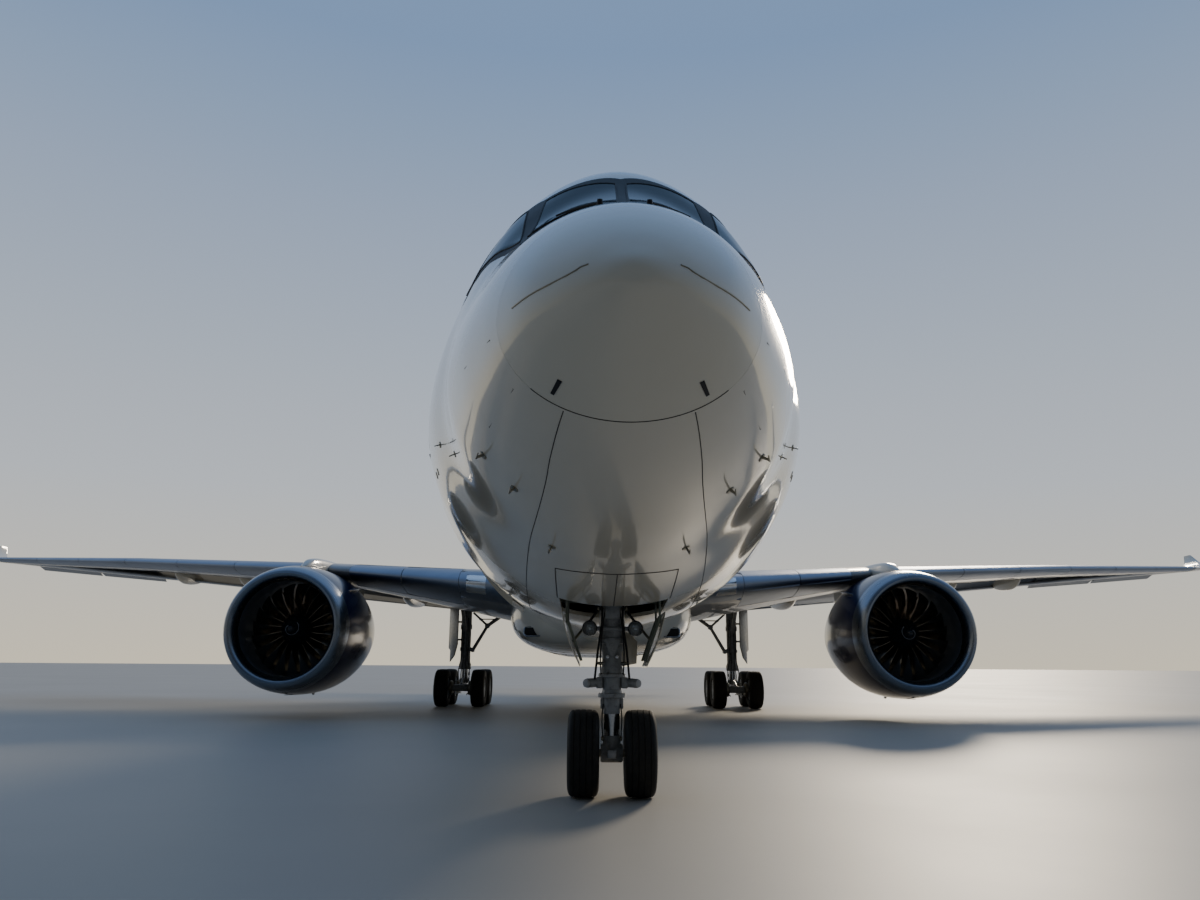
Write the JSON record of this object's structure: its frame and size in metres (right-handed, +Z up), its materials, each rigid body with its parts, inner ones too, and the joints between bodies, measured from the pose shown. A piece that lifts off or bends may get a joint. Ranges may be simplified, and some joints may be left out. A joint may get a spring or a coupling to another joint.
{
  "type": "airliner, 1:2 scale model",
  "caption": "Wide-body airliner at half size, parked on its gear, with turning wheels and fans, steering, control surfaces and cargo doors.",
  "frame": {"origin": "on the ground under the middle of the airliner's length and span", "axes": "+X to the airliner's left wing, +Y aft to the tail, +Z up; the nose points to -Y"},
  "size_m": [31.991, 31.83, 8.395],
  "materials": {
    "cream_paint": "gloss",
    "navy_paint": "gloss",
    "wing_grey": "satin",
    "bare_aluminium": "polished",
    "engine_metal": "satin",
    "fan_blade_metal": "satin",
    "gear_paint": "satin",
    "tyre_rubber": "matt",
    "cockpit_glass": "gloss"
  },
  "bodies": {
    "airframe": {"radome": "cream_paint", "nose_section": "cream_paint", "fuselage": "cream_paint", "tail_cone": "cream_paint", "belly_fairing": "cream_paint", "fin": "navy_paint", "left_cockpit_glass": "cockpit_glass", "right_cockpit_glass": "cockpit_glass", "left_stabiliser": "cream_paint", "right_stabiliser": "cream_paint", "left_wing": "wing_grey", "right_wing": "wing_grey", "left_wingtip": "cream_paint", "right_wingtip": "cream_paint", "left_inner_slat": "bare_aluminium", "right_inner_slat": "bare_aluminium", "left_outer_slat": "bare_aluminium", "right_outer_slat": "bare_aluminium", "left_inner_flap": "wing_grey", "right_inner_flap": "wing_grey", "left_outer_flap": "wing_grey", "right_outer_flap": "wing_grey", "left_pylon": "cream_paint", "right_pylon": "cream_paint", "left_nacelle": "navy_paint", "right_nacelle": "navy_paint", "left_engine_core": "engine_metal", "right_engine_core": "engine_metal", "left_main_leg": "gear_paint", "right_main_leg": "gear_paint", "left_side_stay": "gear_paint", "right_side_stay": "gear_paint", "left_bogie": "gear_paint", "right_bogie": "gear_paint", "left_nose_gear_door": "cream_paint", "right_nose_gear_door": "cream_paint", "nose_leg": "gear_paint", "nose_drag_strut": "gear_paint"},
    "front_cargo_door": {"front_cargo_door": "cream_paint"},
    "back_cargo_door": {"back_cargo_door": "cream_paint"},
    "rudder": {"rudder": "navy_paint"},
    "left_elevator": {"left_elevator": "cream_paint"},
    "right_elevator": {"right_elevator": "cream_paint"},
    "left_inner_aileron": {"left_inner_aileron": "wing_grey"},
    "right_inner_aileron": {"right_inner_aileron": "wing_grey"},
    "left_outer_aileron": {"left_outer_aileron": "wing_grey"},
    "right_outer_aileron": {"right_outer_aileron": "wing_grey"},
    "left_fan": {"left_fan": "fan_blade_metal"},
    "right_fan": {"right_fan": "fan_blade_metal"},
    "nose_steering": {"nose_lower_leg": "gear_paint"},
    "nose_wheels": {"nose_wheels": "tyre_rubber"},
    "left_front_main_wheels": {"left_front_main_wheels": "tyre_rubber"},
    "right_front_main_wheels": {"right_front_main_wheels": "tyre_rubber"},
    "left_rear_main_wheels": {"left_rear_main_wheels": "tyre_rubber"},
    "right_rear_main_wheels": {"right_rear_main_wheels": "tyre_rubber"}
  },
  "joints": [
    {"name": "nose_steer", "type": "hinge", "parent": "airframe", "child": "nose_steering", "pos_m": [0, -12.58, 0.5], "axis": [0, 0, 1], "range_deg": [-72, 72]},
    {"name": "nose_wheel_spin", "type": "hinge", "parent": "nose_steering", "child": "nose_wheels", "pos_m": [0, -12.58, 0.2625], "axis": [1, 0, 0], "continuous": true},
    {"name": "left_front_wheel_spin", "type": "hinge", "parent": "airframe", "child": "left_front_main_wheels", "pos_m": [2.67, -0.39, 0.35], "axis": [1, 0, 0], "continuous": true},
    {"name": "right_front_wheel_spin", "type": "hinge", "parent": "airframe", "child": "right_front_main_wheels", "pos_m": [-2.67, -0.39, 0.35], "axis": [1, 0, 0], "continuous": true},
    {"name": "left_rear_wheel_spin", "type": "hinge", "parent": "airframe", "child": "left_rear_main_wheels", "pos_m": [2.67, 0.6, 0.35], "axis": [1, 0, 0], "continuous": true},
    {"name": "right_rear_wheel_spin", "type": "hinge", "parent": "airframe", "child": "right_rear_main_wheels", "pos_m": [-2.67, 0.6, 0.35], "axis": [1, 0, 0], "continuous": true},
    {"name": "left_fan_spin", "type": "hinge", "parent": "airframe", "child": "left_fan", "pos_m": [4.685, -4.165, 1.3], "axis": [0, 1, 0], "continuous": true},
    {"name": "right_fan_spin", "type": "hinge", "parent": "airframe", "child": "right_fan", "pos_m": [-4.685, -4.165, 1.3], "axis": [0, 1, 0], "continuous": true},
    {"name": "rudder_hinge", "type": "hinge", "parent": "airframe", "child": "rudder", "pos_m": [0, 12.56568, 4.475], "axis": [0, 0.4681, 0.8837], "range_deg": [-35, 35]},
    {"name": "left_elevator_hinge", "type": "hinge", "parent": "airframe", "child": "left_elevator", "pos_m": [0.875, 13.11768, 3.28976], "axis": [0.9178, 0.3844, 0.0993], "range_deg": [0, 45]},
    {"name": "right_elevator_hinge", "type": "hinge", "parent": "airframe", "child": "right_elevator", "pos_m": [-0.875, 13.11768, 3.28976], "axis": [0.9178, -0.3844, -0.0993], "range_deg": [0, 45]},
    {"name": "left_inner_aileron_hinge", "type": "hinge", "parent": "airframe", "child": "left_inner_aileron", "pos_m": [10.175, 2.54781, 2.90149], "axis": [0.9163, 0.3957, 0.0627], "range_deg": [0, 50]},
    {"name": "right_inner_aileron_hinge", "type": "hinge", "parent": "airframe", "child": "right_inner_aileron", "pos_m": [-10.175, 2.54781, 2.90149], "axis": [0.9163, -0.3957, -0.0627], "range_deg": [0, 50]},
    {"name": "left_outer_aileron_hinge", "type": "hinge", "parent": "airframe", "child": "left_outer_aileron", "pos_m": [12.065, 3.36398, 3.03083], "axis": [0.9161, 0.3956, 0.0648], "range_deg": [0, 50]},
    {"name": "right_outer_aileron_hinge", "type": "hinge", "parent": "airframe", "child": "right_outer_aileron", "pos_m": [-12.065, 3.36398, 3.03083], "axis": [0.9161, -0.3956, -0.0648], "range_deg": [0, 50]},
    {"name": "front_cargo_door_hinge", "type": "hinge", "parent": "airframe", "child": "front_cargo_door", "pos_m": [-1.383, -9.44, 2.23356], "axis": [0, 1, 0], "range_deg": [0, 140]},
    {"name": "back_cargo_door_hinge", "type": "hinge", "parent": "airframe", "child": "back_cargo_door", "pos_m": [-1.3815, 5.685, 2.35206], "axis": [0.0344, 0.9994, 0], "range_deg": [0, 140]}
  ]
}
